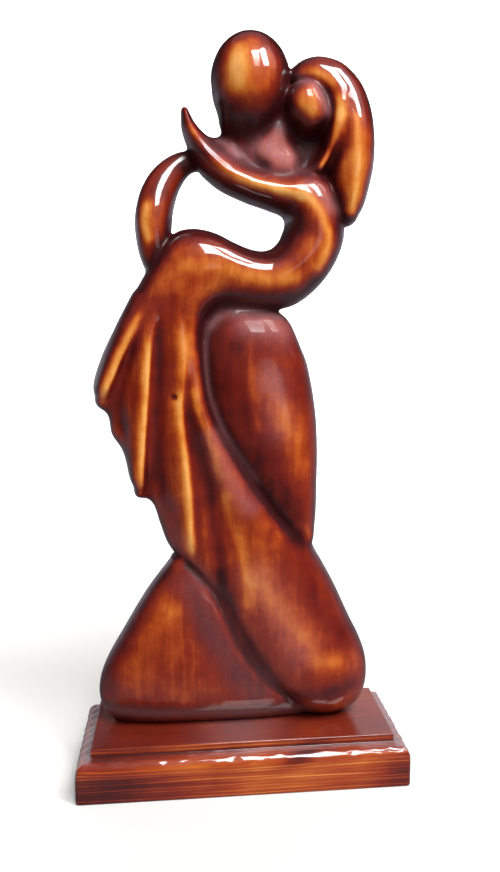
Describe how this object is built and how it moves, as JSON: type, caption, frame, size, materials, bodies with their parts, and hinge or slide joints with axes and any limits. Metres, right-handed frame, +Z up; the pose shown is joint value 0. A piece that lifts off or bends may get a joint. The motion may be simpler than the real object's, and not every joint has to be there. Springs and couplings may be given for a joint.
{
  "type": "wooden figurine",
  "caption": "Stylised embracing couple carved from one piece of stained, varnished wood, standing on a routed plinth.",
  "frame": {"origin": "middle of the plinth's underside", "axes": "+Z up, +X to the viewer's right, the carved front faces -Y"},
  "size_m": [0.18, 0.071, 0.399],
  "materials": {
    "figure_wood": "carved softwood with a rubbed orange to dark mahogany stain under glossy varnish",
    "plinth_wood": "planed pine board, routed edge, red-brown stain under glossy varnish"
  },
  "bodies": {
    "root": {"carved_couple": "figure_wood", "plinth": "plinth_wood"}
  },
  "joints": []
}
